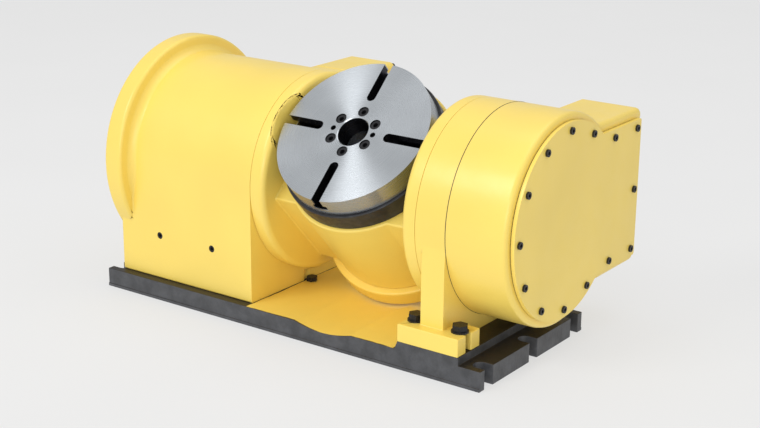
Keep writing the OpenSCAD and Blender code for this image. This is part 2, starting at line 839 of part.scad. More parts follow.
module left_trunnion() {
    wheel_side = tilt_worm_x + worm_wheel_w / 2;
    color(steel) tilted() difference() {
        union() {
            disc(cheek_left, cheek_left + flange_t, flange_r);
            disc(-left_gap - seat_w - eps, cheek_left + eps, trunnion_r);
            disc(wheel_side, -left_gap - seat_w, wheel_seat_r + wheel_shoulder);
            disc(web_x + past, wheel_side + eps, wheel_seat_r);
            disc(tail_end, web_x + past + eps, tail_r);
        }
        disc(tail_end - past, cheek_left + flange_t + past, trunnion_bore_r);
        trunnion_bolt_places() translate([0, 0, -past])
            cylinder(h = 2 * flange_t, r = flange_screw_r + screw_gap);
        trunnion_bolt_places() translate([0, 0, -past])
            cylinder(h = flange_sink + past, r = flange_head_r + head_gap);
    }
}

trunnion_bore_r = 12;
wheel_shoulder = 3;
flange_screw_r = 4;                          // left flange's screws, M8
flange_head_r = 6.5;
flange_head_h = 4.6;
flange_sink = 5;                             // and their counterbores
flange_grip = 16;
ring_bolt_inset = 7;
gear_screw_r = 2;                            // right flange's screws, M4
gear_head_r = 3.6;
gear_head_h = 3.4;
gear_sink = 3.6;
gear_grip = 9;

// screws through the trunnion flanges, heads on the outside
module trunnion_bolt_places() {
    at_x(cheek_left) around(6, flange_r - flange_sink - flange_screw_r, 30) children();
}

// in (Y, Z): four round the trunnion, three round the worm gear
module right_bolt_spots() {
    for (a = [90 : 60 : 270]) rotate(a) translate([flange_r - ring_bolt_inset, 0])
        children();
    for (a = [-60 : 60 : 60]) translate([rotary_worm_y, 0]) rotate(a)
        translate([gear_flange_r - gear_head_r - head_gap, 0]) children();
}

module right_bolt_places() {
    translate([cheek_right, 0, 0]) rotate([90, 0, 90]) right_bolt_spots() rotate([180, 0, 0])
        children();
}

module trunnion_bolts() {
    color(black) tilted() {
        trunnion_bolt_places() translate([0, 0, flange_sink]) rotate([180, 0, 0])
            socket_screw(flange_head_r, flange_head_h, flange_screw_r, flange_grip);
        right_bolt_places() translate([0, 0, gear_sink]) rotate([180, 0, 0])
            socket_screw(gear_head_r, gear_head_h, gear_screw_r, gear_grip);
    }
}

// outline of the right trunnion's flange and of the gear space behind it, in (Y, Z)
module gear_outline(r_shaft, r_worm) {
    circle(r_shaft);
    translate([0, -r_worm]) square([rotary_worm_y, 2 * r_worm]);
    translate([rotary_worm_y, 0]) circle(r_worm);
}

module left_trunnion_bearing() {
    color(bearing_grey) on_axis() at_x(-left_gap - seat_w)
        bearing(trunnion_r, trunnion_bearing_r, seat_w - past, 2 * small_balls);
}

module tail_bearing() {
    color(bearing_grey) on_axis() at_x(web_x - web_w)
        bearing(tail_r, tail_bearing_r, web_w, 2 * small_balls - 4);
}

module tail_nut() {
    color(black) tilted() difference() {
        washer(tail_end, tail_end + tail_nut_w, tail_r + tail_nut_wall, tail_r);
        for (a = [0 : 90 : 270]) rotate([a, 0, 0])
            box([tail_end - past, -nut_slot_w / 2, tail_r + nut_slot_floor],
                [tail_end + tail_nut_w + past, nut_slot_w / 2, far]);
    }
}

module brake_disc() {
    color(steel) tilted() {
        washer(brake_x, brake_x + brake_t, brake_r, tail_r);
        washer(brake_x - brake_hub_w, brake_x + eps, brake_hub_r, tail_r);
    }
}

module brake_caliper_ring() {
    color(bearing_grey) on_axis() difference() {
        washer(brake_x - caliper_w, web_x - web_w, cavity_r, brake_r - caliper_depth);
        disc(brake_x - free_gap, brake_x + brake_t + free_gap, brake_r + free_gap);
    }
}

// ---------------------------------------------------------------- cradle

// round cheek with a rounded inner edge, its outer face at x and its body towards dir
module cheek(x, dir) {
    at_x(x) mirror([0, 0, dir < 0 ? 1 : 0]) rotate_extrude($fn = ring_steps) {
        square([housing_r, cheek_w - cheek_round]);
        square([housing_r - cheek_round, cheek_w]);
        translate([housing_r - cheek_round, cheek_w - cheek_round])
            circle(cheek_round, $fn = screw_steps);
    }
}

module cradle_casting() {
    color(yellow) tilted() difference() {
        union() {
            difference() {
                union() {
                    cheek(cheek_left, 1);
                    cheek(cheek_right, -1);
                }
                translate([0, 0, deck_h]) cylinder(h = far, r = seal_ring_r + 2 * free_gap);
            }
            box([inner_left - past, -beam_half, -spindle_housing_low],
                [inner_right + past, beam_half, deck_h]);
            translate([0, 0, -spindle_housing_low])
                cylinder(h = spindle_housing_low + deck_h, r = spindle_housing_r, $fn = ring_steps);
        }
        // spindle, its bearings and the worm wheel
        translate([0, 0, upper_seat]) cylinder(h = far, r = upper_bearing_r);
        translate([0, 0, -past]) cylinder(h = upper_seat + 2 * past, r = spindle_r + free_gap);
        translate([0, 0, cavity_low]) cylinder(h = cavity_top - cavity_low,
            r = wheel_cavity_r);
        translate([0, 0, lower_seat - lower_bearing_h])
            cylinder(h = cavity_low + past - lower_seat + lower_bearing_h, r = lower_bearing_r);
        translate([0, 0, -spindle_housing_low - past])
            cylinder(h = lower_bearing_h + 2 * edge_trim, r = lower_bearing_r - 0.75 * edge_trim);
        // rotary worm, from the blind left bearing out to the transfer gears
        translate([worm_left, rotary_worm_y, 0]) rotate([0, 90, 0])
            cylinder(h = gear_x - worm_left, r = worm_bearing_r);
        // space for the transfer gears behind the right trunnion's flange
        along_x(gear_x - free_gap, cheek_right) gear_outline(gear_tip_r + free_gap,
            gear_tip_r + free_gap);
        along_x(cheek_right - flange_t, cheek_right + past) gear_outline(flange_r, gear_flange_r);
        right_bolt_places() cylinder(h = gear_grip + flange_sink, r = gear_screw_r);
        disc(drive_seat_x, gear_x, drive_bearing_r);
        // left trunnion flange
        disc(cheek_left - past, cheek_left + flange_t, flange_r);
        trunnion_bolt_places() cylinder(h = flange_grip + flange_t, r = flange_screw_r);
        // bottom cap
        translate([0, 0, -spindle_housing_low - 2 * cap_t])
            cylinder(h = 2 * cap_t, r = cap_r + free_gap);
        cap_screw_places() translate([0, 0, -past]) cylinder(h = cap_grip, r = cap_screw_r);
    }
}

worm_left = -worm_reach - past;              // blind end of the rotary worm's bore
drive_seat_x = gear_x - 14;
drive_bearing_r = 18;
cap_screw_r = 3;                             // bottom cap's screws, M6
cap_head_r = 5.2;
cap_head_h = 6;
cap_sink = 7;
cap_grip = 18;
cap_floor = 8;
cap_inset = 12;

module seal_ring() {
    color(black) tilted() translate([0, 0, deck_h]) difference() {
        cylinder(h = plate_low - deck_h - seal_gap, r = seal_ring_r, $fn = ring_steps);
        translate([0, 0, -past]) cylinder(h = ring_rise + 2 * past, r = upper_bearing_r + 6);
    }
}

module upper_spindle_bearing() {
    color(bearing_grey) tilted() translate([0, 0, upper_seat])
        bearing(spindle_r, upper_bearing_r, upper_bearing_h, 2 * small_balls + 2);
}

module lower_spindle_bearing() {
    color(bearing_grey) tilted() translate([0, 0, lower_seat - lower_bearing_h])
        bearing(lower_r, lower_bearing_r, lower_bearing_h, 2 * small_balls - 2);
}

module cap_screw_places() {
    translate([0, 0, -spindle_housing_low]) around(8, spindle_housing_r - cap_inset, 22.5)
        children();
}

module bottom_cap() {
    color(yellow) tilted() difference() {
        translate([0, 0, cap_low]) cylinder(h = cap_t, r = cap_r, $fn = ring_steps);
        translate([0, 0, cap_low + cap_floor]) cylinder(h = cap_t, r = lower_bearing_r + 4);
        translate([0, 0, cap_low - past]) cylinder(h = cap_t, r = bore_r + past);
        cap_screw_places() translate([0, 0, -cap_t - past])
            cylinder(h = cap_t + 2 * past, r = cap_screw_r + screw_gap);
        cap_screw_places() translate([0, 0, -cap_t - past])
            cylinder(h = cap_sink + past, r = cap_head_r + head_gap);
    }
}

module bottom_cap_screws() {
    color(black) tilted() cap_screw_places() translate([0, 0, cap_sink - cap_t])
        rotate([180, 0, 0]) socket_screw(cap_head_r, cap_head_h, cap_screw_r, 30);
}

module spindle() {
    color(steel) tilted() difference() {
        union() {
            translate([0, 0, plate_low - spindle_flange_t])
                cylinder(h = spindle_flange_t, r = spindle_flange_r);
            translate([0, 0, cavity_top])
                cylinder(h = plate_low - cavity_top - spindle_flange_t + eps, r = spindle_r);
            translate([0, 0, -worm_wheel_w / 2]) cylinder(h = cavity_top + worm_wheel_w / 2 + eps,
                r = spindle_mid_r);
            translate([0, 0, spindle_low]) cylinder(h = -spindle_low, r = lower_r);
        }
        translate([0, 0, spindle_low - past]) cylinder(h = 2 * plate_top,
            r = bore_r + bore_chamfer + free_gap);
        translate([0, 0, plate_low]) around(6, screw_circle_r, 30)
            tapped_hole(plate_screw_r, plate_grip);
    }
}

spindle_low = -spindle_housing_low - 6;
spindle_flange_t = 8;
spindle_flange_r = 80;
plate_screw_r = 4;                           // faceplate's screws, M8
plate_head_r = 6.3;
plate_head_h = 7.8;
plate_sink = 9;
plate_grip = 24;
dowel_depth = 16;

module spindle_nut() {
    color(black) tilted() translate([0, 0, spindle_low]) difference() {
        cylinder(h = lower_seat - lower_bearing_h - spindle_low - 1, r = lower_r + tail_nut_wall);
        translate([0, 0, -past]) cylinder(h = far, r = lower_r);
        for (a = [0 : 60 : 300]) rotate(a)
            box([lower_r + nut_slot_floor, -nut_slot_w / 2, -past], [far, nut_slot_w / 2, far]);
    }
}

module rotary_worm_wheel() {
    color(bronze) tilted() rotate(90 + 180 / rotary_teeth)
        worm_wheel(rotary_teeth, spindle_mid_r);
}

module rotary_worm_bearings() {
    color(bearing_grey) tilted() translate([0, rotary_worm_y, 0]) {
        for (x = [-worm_reach, worm_reach - worm_bearing_w])
            at_x(x) bearing(worm_journal_r, worm_bearing_r, worm_bearing_w, small_balls);
    }
}

module rotary_worm() {
    color(steel) tilted() translate([0, rotary_worm_y, 0]) at_x(0) rotate(-90)
        worm(worm_reach, gear_x + gear_w);
}

module spur_gear(bore) {
    pitch_r = gear_teeth * gear_module / 2;
    half_pitch = PI * gear_module / 2;
    linear_extrude(gear_w) difference() {
        toothed(gear_teeth, pitch_r, gear_root * gear_module, gear_crest * gear_module,
            half_pitch * gear_root_share - gear_play, half_pitch * gear_tip_share - gear_play);
        circle(bore);
    }
}

// a gap between two teeth faces the drive gear
module worm_gear() {
    color(steel) tilted() translate([0, rotary_worm_y, 0]) at_x(gear_x)
        rotate(270 + 180 / gear_teeth) spur_gear(worm_journal_r);
}

// a tooth faces the worm gear
module drive_gear() {
    color(steel) tilted() at_x(gear_x) rotate(90) spur_gear(shaft_journal_r);
}

module faceplate() {
    color(steel) tilted() difference() {
        translate([0, 0, plate_low]) cylinder(h = plate_t, r = plate_r, $fn = ring_steps);
        translate([0, 0, plate_low - past]) cylinder(h = plate_t + 2 * past, r = bore_r);
        translate([0, 0, plate_top - bore_chamfer])
            cylinder(h = bore_chamfer + eps, r1 = bore_r, r2 = bore_r + bore_chamfer + eps);
        for (a = [0 : 90 : 270]) rotate(a) t_slot();
        translate([0, 0, plate_low - past]) around(6, screw_circle_r, 30)
            cylinder(h = plate_t + 2 * past, r = plate_screw_r + screw_gap);
        translate([0, 0, plate_top]) around(6, screw_circle_r, 30)
            tapped_hole(counterbore_r, plate_sink);
        translate([0, 0, plate_top]) around(2, screw_circle_r)
            tapped_hole(dowel_hole_r, dowel_depth);
    }
}

// narrow neck with a round inner end, over a wide head space
module t_slot() {
    neck_start = slot_start + slot_w / 2;
    neck_low = plate_top - slot_neck - slot_head_h / 2;
    translate([neck_start, 0, neck_low]) cylinder(h = plate_top + past - neck_low, r = slot_w / 2);
    box([neck_start, -slot_w / 2, neck_low], [plate_r + past, slot_w / 2, plate_top + past]);
    head_start = slot_start + slot_head_w / 2 + past;
    translate([head_start, 0, plate_top - slot_neck - slot_head_h])
        cylinder(h = slot_head_h, r = slot_head_w / 2);
    box([head_start, -slot_head_w / 2, plate_top - slot_neck - slot_head_h],
        [plate_r + past, slot_head_w / 2, plate_top - slot_neck]);
}

module faceplate_screws() {
    color(black) tilted() translate([0, 0, plate_top - plate_sink])
        around(6, screw_circle_r, 30) socket_screw(plate_head_r, plate_head_h, plate_screw_r,
            plate_t - plate_sink + 0.75 * plate_grip);
}

// ---------------------------------------------------------------- right end

bolt_out = 6.5;                              // outer bolts' washers clear of the upright
bolt_x = [upright_x - bolt_washer_r - 0.7 * free_gap, ring_end + bolt_washer_r + bolt_out];
bolt_y = [-base_front + notch_inset, rear_bolt_y];

module bracket_bolt_places(z) {
    for (x = bolt_x, y = bolt_y) translate([x, y, z]) children();
}

module notches() {
    for (x = bolt_x, y = bolt_y) {
        edge = x < upright_x ? foot_x0 - past : foot_x1 + past;
        translate([x, y, pad_top - past]) cylinder(h = foot_h + 2 * past, r = notch_w / 2);
        box([min(x, edge), y - notch_w / 2, pad_top - past],
            [max(x, edge), y + notch_w / 2, foot_top + past]);
    }
}

// upright's side, in (Y, Z): its front leans back into the ring above the straight part
module upright_outline() {
    drop = pad_top - axis_h;
    shoulder = base_h + upright_top - axis_h;
    polygon([[housing_front, drop], [housing_back, drop], [housing_back, 0], [0, 0],
        [housing_front / 2, 0], [-sqrt(pow(housing_r, 2) - pow(shoulder / 2, 2)), shoulder / 2],
        [housing_front, shoulder]]);
}

module support_bracket() {
    color(yellow) difference() {
        union() {
            on_axis() disc(right_gap, ring_end, housing_r);
            on_axis() along_x(upright_x, ring_end) upright_outline();
            box([foot_x0, -base_front, pad_top], [foot_x1, -base_front + foot_depth, foot_top]);
            box([foot_x0, rear_foot_y, pad_top], [foot_x1, base_back, foot_top]);
        }
        notches();
        on_axis() disc(right_gap - past, ring_end - ring_shoulder, right_bearing_r);
        on_axis() disc(right_gap, ring_end + past, right_bearing_r - edge_trim);
        on_axis() housing_screw_places() tapped_hole(housing_screw_r, housing_grip + past);
    }
}

right_bearing_r = right_trunnion_r + ball_wall;
right_bearing_w = 24;
ring_shoulder = 10;                          // ring's wall behind the bearing
housing_screw_r = 3;                         // right housing's screws, M6
housing_head_r = 5;
housing_head_h = 6;
housing_grip = 12;
trunnion_inset = 6;                          // trunnion's end inside the ring

module bracket_bolts() {
    color(black) bracket_bolt_places(foot_top) hex_bolt(foot_h + bracket_thread - past);
}

module right_trunnion_bearing() {
    color(bearing_grey) on_axis() at_x(ring_end - ring_shoulder - right_bearing_w)
        bearing(right_trunnion_r, right_bearing_r, right_bearing_w, 2 * small_balls - 2);
}

module right_trunnion() {
    color(steel) tilted() difference() {
        union() {
            along_x(cheek_right - flange_t, cheek_right) gear_outline(flange_r, gear_flange_r);
            disc(cheek_right - eps, ring_end - trunnion_inset, right_trunnion_r);
        }
        disc(cheek_right - flange_t - past, ring_end, end_bearing_r);
        right_bolt_places() translate([0, 0, -past])
            cylinder(h = 2 * flange_t, r = gear_screw_r + screw_gap);
        right_bolt_places() translate([0, 0, -past])
            cylinder(h = gear_sink + past, r = gear_head_r + screw_gap);
    }
}

// outline of the right housing: the round body with the rear box, in (Y, Z)
module right_outline(inset, box_step) {
    circle(housing_r - inset, $fn = ring_steps);
    round_rect(0, -box_half_h + box_step, box_back - box_step, box_half_h - box_step,
        max(box_round - box_step / 2, 2));
}

boss_depth = 16;                             // depth of the bosses for the cover's screws
boss_r = 7;
land_w = 8;                                  // land that the cover's gasket seals on

module right_housing() {
    color(yellow) on_axis() difference() {
        along_x(ring_end, right_end) right_outline(0, 0);
        along_x(ring_end + right_wall, right_end - boss_depth) right_outline(right_wall + 2,
            right_wall);
        along_x(right_end - boss_depth - eps, right_end + past) difference() {
            right_outline(cover_inset + land_w, box_inset + land_w - 1);
            cover_screw_spots() circle(boss_r);
        }
        disc(ring_end - past, ring_end + right_wall + past, right_bearing_r - edge_trim);
        cover_screw_places(right_end) tapped_hole(cover_thread_r, cover_grip + past);
        housing_screw_places() translate([0, 0, -past])
            cylinder(h = right_wall + 2 * past, r = housing_screw_r + screw_gap);
        translate([ring_end + right_len / 2, box_back - right_wall - past, box_socket_z])
            rotate([-90, 0, 0]) cylinder(h = right_wall + 2 * past, r = connector_r);
    }
}

// screws from inside the right housing into the bracket
module housing_screw_places() {
    at_x(ring_end) around(8, right_bearing_r + housing_grip, 22.5) children();
}

module housing_screws() {
    color(black) on_axis() housing_screw_places() translate([0, 0, right_wall])
        socket_screw(housing_head_r, housing_head_h, housing_screw_r, right_wall + housing_grip);
}

box_screw_gap = 58;                          // between the cover's screws along the box
seal_inset = 0.8;                            // gasket's edge inside the cover's
seal_w = 16;
low_head_h = 2.6;
screw_ring_r = housing_r - cover_inset - screw_inset;
box_screw_z = box_half_h - box_inset - screw_inset;
box_screw_y = box_back - box_inset - screw_inset - 1;

// where the cover screws go, in (Y, Z)
module cover_screw_spots() {
    for (i = [0 : 8]) rotate(60 + i * 30) translate([screw_ring_r, 0]) children();
    for (y = [box_screw_y, box_screw_y - box_screw_gap], z = [-box_screw_z, box_screw_z])
        translate([y, z]) children();
    translate([box_screw_y, 0]) children();
}

module cover_screw_places(x) {
    translate([x, 0, 0]) rotate([90, 0, 90]) cover_screw_spots() children();
}

module side_cover_gasket() {
    color(black) on_axis() along_x(right_end, right_end + gasket_t) difference() {
        right_outline(cover_inset + seal_inset, box_inset + seal_inset);
        right_outline(cover_inset + seal_w, box_inset + seal_w);
        cover_screw_spots() circle(cover_thread_r + screw_gap);
    }
}

module side_cover() {
    color(yellow) on_axis() difference() {
        along_x(right_end + gasket_t, right_end + gasket_t + side_cover_t)
            right_outline(cover_inset, box_inset);
        cover_screw_places(right_end)
            cylinder(h = gasket_t + side_cover_t + past, r = cover_thread_r + screw_gap);
    }
}

module side_cover_screws() {
    color(black) on_axis() cover_screw_places(right_end + gasket_t + side_cover_t)
        socket_screw(cover_screw_r, low_head_h, cover_thread_r,
            gasket_t + side_cover_t + cover_grip);
}

motor_post_z = 62;
motor_post_y = 36;
motor_post_r = 6;
motor_post_hole_r = 3.3;
motor_edge = 8;                              // motor plate beyond its posts' middles

// corners of the motor plate, in (Y, Z), seen from the motor's axis
module motor_post_spots() {
    for (z = [-motor_post_z, motor_post_z], y = [-motor_post_y, motor_post_y])
        translate([motor_back + y, z])
        children();
}

module motor_plate() {
    color(bearing_grey) on_axis() along_x(motor_plate_x, motor_plate_x + motor_plate_t)
        difference() {
            round_rect(motor_back - motor_post_y - motor_edge, -motor_post_z - motor_edge,
                motor_back + motor_post_y + motor_edge, motor_post_z + motor_edge, motor_edge / 2);
            translate([motor_back, 0]) circle(motor_pilot_r);
            motor_post_spots() circle(motor_post_hole_r);
        }
}

motor_pilot_r = 22;

module rotary_motor() {
    half = rotary_motor_w / 2;
    bolt_inset = 6;
    color(black) on_axis() {
        difference() {
            union() {
                along_x(motor_x, motor_plate_x) translate([motor_back, 0])
                    round_rect(-half, -half, half, half, motor_edge);
                translate([0, motor_back, 0]) disc(motor_plate_x - eps,
                    motor_plate_x + motor_plate_t - 1, motor_pilot_r);
            }
            translate([0, motor_back, 0]) disc(motor_plate_x - stub_depth - past,
                motor_plate_x + motor_plate_t, motor_stub_r + free_gap);
            along_x(motor_x - past, motor_plate_x + past) translate([motor_back, 0])
                for (y = [-1, 1], z = [-1, 1]) 
                    translate([y * (half - bolt_inset), z * (half - bolt_inset)]) circle(motor_hole_r);
        }
        // four posts that hold the motor plate off the housing's floor
        along_x(ring_end + right_wall, motor_plate_x) motor_post_spots()
            circle(motor_post_r);
    }
}

motor_stub_r = 7;
stub_depth = 14;                             // motor's stub inside its body

module flanged_pulley(x, r, bore) {
    washer(x, x + belt_w, r, bore);
    washer(x - pulley_lip, x + eps, r + pulley_rise, bore);
    washer(x + belt_w - eps, x + belt_w + pulley_lip, r + pulley_rise, bore);
}

module motor_pulley() {
    color(steel) on_axis() translate([0, motor_back, 0]) {
        flanged_pulley(pulley_x, motor_pulley_r, motor_stub_r - 1);
        disc(motor_plate_x - stub_depth, pulley_x + belt_w + pulley_lip, motor_stub_r);
    }
}

module drive_pulley() {
    color(steel) tilted() flanged_pulley(pulley_x, drive_pulley_r, shaft_journal_r);
}

// corners of a loop round both pulleys: two arcs joined by their outer tangents
belt_steps = 24;
function belt_arc(y, r, from, to) = [for (i = [0 : belt_steps])
    let (a = from + (to - from) * i / belt_steps)
    [y + r * cos(a), r * sin(a)]];
function belt_corners(grow) = let (lean = acos((drive_pulley_r - motor_pulley_r) / motor_back))
    concat(belt_arc(motor_back, motor_pulley_r + grow, -lean, lean),
        belt_arc(0, drive_pulley_r + grow, lean, 360 - lean));

module drive_belt() {
    slack = 0.5;
    color(black) on_axis() along_x(pulley_x + slack, pulley_x + belt_w - slack) difference() {
        polygon(belt_corners(slack + belt_t));
        polygon(belt_corners(slack));
    }
}

module drive_shaft() {
    color(steel) tilted() {
        disc(drive_seat_x, pulley_x + belt_w + pulley_lip, shaft_journal_r);
        disc(gear_x + gear_w + free_gap, pulley_x - pulley_lip, drive_shaft_r);
    }
}

module drive_shaft_bearing() {
    color(bearing_grey) tilted() at_x(drive_seat_x)
        bearing(shaft_journal_r, drive_bearing_r, gear_x - free_gap - drive_seat_x, small_balls);
}

end_bearing_r = 21;
end_bearing_w = 12;

// bearing inside the right trunnion's end
module shaft_end_bearing() {
    color(bearing_grey) tilted() at_x(ring_end - trunnion_inset - end_bearing_w - past)
        bearing(drive_shaft_r, end_bearing_r, end_bearing_w, small_balls);
}

base_casting();
left_housing();
housing_plugs();
housing_foot_bolts();
left_end_cover();
end_cover_screws();
rear_motor_cover();
rear_cover_screws();
tilt_motor();
tilt_worm_bearings();
left_trunnion_bearing();
tail_bearing();
brake_caliper_ring();
support_bracket();
bracket_bolts();
right_trunnion_bearing();
right_housing();
housing_screws();
side_cover_gasket();
side_cover();
side_cover_screws();
rotary_motor();
motor_plate();
drive_belt();
shaft_end_bearing();
cable_connectors();
cradle_casting();
left_trunnion();
trunnion_bolts();
right_trunnion();
tilt_worm_wheel();
tail_nut();
brake_disc();
seal_ring();
upper_spindle_bearing();
lower_spindle_bearing();
bottom_cap();
bottom_cap_screws();
rotary_worm_bearings();
drive_shaft_bearing();
faceplate();
faceplate_screws();
spindle();
rotary_worm_wheel();
spindle_nut();
tilt_worm();
motor_coupling();
rotary_worm();
worm_gear();
drive_shaft();
drive_gear();
drive_pulley();
motor_pulley();
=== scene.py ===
"""Looks of a tilting rotary table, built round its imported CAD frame.

Every piece sits at the origin with its place in its mesh, in metres, X along the tilt axis,
Y to the back and Z up. Castings are welded, softened copies of the CAD bodies; everything
else keeps its CAD mesh and gets a worked finish."""

import json
from math import cos, pi, radians, sin

import bmesh
import bpy
import numpy as np
from bpy.props import FloatProperty, FloatVectorProperty, PointerProperty
from mathutils import Matrix, Vector

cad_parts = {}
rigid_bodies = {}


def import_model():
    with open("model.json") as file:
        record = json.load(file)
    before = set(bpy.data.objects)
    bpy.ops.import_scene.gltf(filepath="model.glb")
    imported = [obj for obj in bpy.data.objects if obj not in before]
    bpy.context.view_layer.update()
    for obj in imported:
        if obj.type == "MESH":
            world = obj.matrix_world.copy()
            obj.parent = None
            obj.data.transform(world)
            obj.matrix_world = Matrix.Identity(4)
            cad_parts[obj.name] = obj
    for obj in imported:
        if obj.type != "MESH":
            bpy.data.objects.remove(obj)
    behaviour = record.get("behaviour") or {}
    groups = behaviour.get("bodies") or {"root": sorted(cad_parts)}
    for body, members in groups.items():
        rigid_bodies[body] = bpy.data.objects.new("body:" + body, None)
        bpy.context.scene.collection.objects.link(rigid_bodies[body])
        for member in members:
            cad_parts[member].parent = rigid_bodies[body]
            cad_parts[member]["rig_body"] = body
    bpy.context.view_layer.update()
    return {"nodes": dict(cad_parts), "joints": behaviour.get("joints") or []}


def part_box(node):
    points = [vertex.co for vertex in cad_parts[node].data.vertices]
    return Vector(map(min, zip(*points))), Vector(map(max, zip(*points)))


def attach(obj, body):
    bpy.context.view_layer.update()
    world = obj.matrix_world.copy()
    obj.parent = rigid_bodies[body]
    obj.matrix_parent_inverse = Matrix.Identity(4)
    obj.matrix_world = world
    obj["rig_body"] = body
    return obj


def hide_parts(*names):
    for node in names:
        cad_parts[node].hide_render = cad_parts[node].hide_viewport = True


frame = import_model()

bl_info = {
    "name": "Tilting rotary table",
    "version": (1, 0, 0),
    "blender": (4, 5, 0),
    "location": "View3D > Sidebar > Rotary table",
    "description": "Castings, turned steel, fasteners and stage of a tilting rotary table",
    "category": "Object",
}

JOINTS = {joint["name"]: joint for joint in frame["joints"]}
TABLE_AXIS = Vector(JOINTS["table_spin"]["axis"])
TABLE_CENTRE = Vector((0.0, 0.0, JOINTS["cradle_tilt"]["pos_m"][2]))
SEAMS = (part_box("left_housing")[1].x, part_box("cradle_casting")[1].x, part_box("right_housing")[0].x)
HOUSING_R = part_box("support_bracket")[1].z - TABLE_CENTRE.z
BOX_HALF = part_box("side_cover")[1].z - TABLE_CENTRE.z
HOUSING_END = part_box("right_housing")[1]

NEAR = 0.0008                                   # an edge this close to a plane lies in it
WELD = 2e-6
FLAT = radians(0.25)                            # faces within this angle are one face
APRON_LEFT = (-0.1165, -0.1155)                 # each limit is a band over which paint fades
APRON_RIGHT = (0.1075, 0.1085)
APRON_FRONT = (-0.1362, -0.1350)
PLATE_RIM = (0.0984, 0.0990)                    # from the table axis; inside it the slots and bore get painted shade, outside it the side band gets painted shade
SLOT_DEPTH = (0.1138, 0.1142)                   # along the table axis from the tilt axis; below it the slots are painted near-black as painted shade
RINGS = 1400.0                                  # turning marks in a metre
FLOOR_REACH = 12.0
SENSOR = 36.0
CAMERA_PLACE = (1.0535, -1.4930, 0.7086)
CAMERA_YAW, CAMERA_PITCH, CAMERA_ROLL = radians(35.6), radians(17.5), radians(0.5)
LIGHT_TARGET = (0.0, 0.0, 0.17)


# ------------------------------------------------------------------ sizes and colours

class TableColours(bpy.types.PropertyGroup):
    """Colours of the finishes"""
    paint: FloatVectorProperty(
        name="Paint", description="Enamel on the castings and covers",
        subtype="COLOR", size=3, min=0.0, max=1.0, default=(0.94, 0.70, 0.14))
    iron: FloatVectorProperty(
        name="Base iron", description="Rough sides of the base",
        subtype="COLOR", size=3, min=0.0, max=1.0, default=(0.062, 0.064, 0.070))
    ground_iron: FloatVectorProperty(
        name="Ground iron", description="Machined top and ends of the base",
        subtype="COLOR", size=3, min=0.0, max=1.0, default=(0.036, 0.031, 0.028))
    plate: FloatVectorProperty(
        name="Faceplate steel", description="Turned steel of the faceplate",
        subtype="COLOR", size=3, min=0.0, max=1.0, default=(0.68, 0.72, 0.76))
    black: FloatVectorProperty(
        name="Black oxide", description="Screws, bolts and plugs",
        subtype="COLOR", size=3, min=0.0, max=1.0, default=(0.012, 0.012, 0.014))
    bronze: FloatVectorProperty(
        name="Bronze", description="Rims of the worm wheels",
        subtype="COLOR", size=3, min=0.0, max=1.0, default=(0.58, 0.33, 0.12))
    backdrop: FloatVectorProperty(
        name="Backdrop", description="Light that fills the stage",
        subtype="COLOR", size=3, min=0.0, max=1.0, default=(0.83, 0.83, 0.83))


class TableSizes(bpy.types.PropertyGroup):
    """Sizes of what the looks add to the frame"""
    casting_round: FloatProperty(
        name="Casting edges", description="Rounding of the castings' edges",
        subtype="DISTANCE", unit="LENGTH", default=0.0024, min=0.0005, max=0.006)
    cover_round: FloatProperty(
        name="Cover edges", description="Rounding of the covers' edges",
        subtype="DISTANCE", unit="LENGTH", default=0.0011, min=0.0003, max=0.003)
    ground_round: FloatProperty(
        name="Ground edges", description="Broken edges of machined parts",
        subtype="DISTANCE", unit="LENGTH", default=0.0006, min=0.0001, max=0.002)
    seam: FloatProperty(
        name="Seam", description="Radius of the dark bead in a housing's seam",
        subtype="DISTANCE", unit="LENGTH", default=0.00055, min=0.0002, max=0.001)
    focal: FloatProperty(
        name="Focal length", description="Camera's focal length in millimetres on a 36 mm sensor",
        default=72.65, min=20.0, max=200.0)
    key_power: FloatProperty(
        name="Key light", description="Power of the large front light",
        subtype="POWER", unit="POWER", default=32.0, min=0.0, max=500.0)


def colours():
    return bpy.context.scene.table_colours


def sizes():
    return bpy.context.scene.table_sizes


# ------------------------------------------------------------------ node helpers

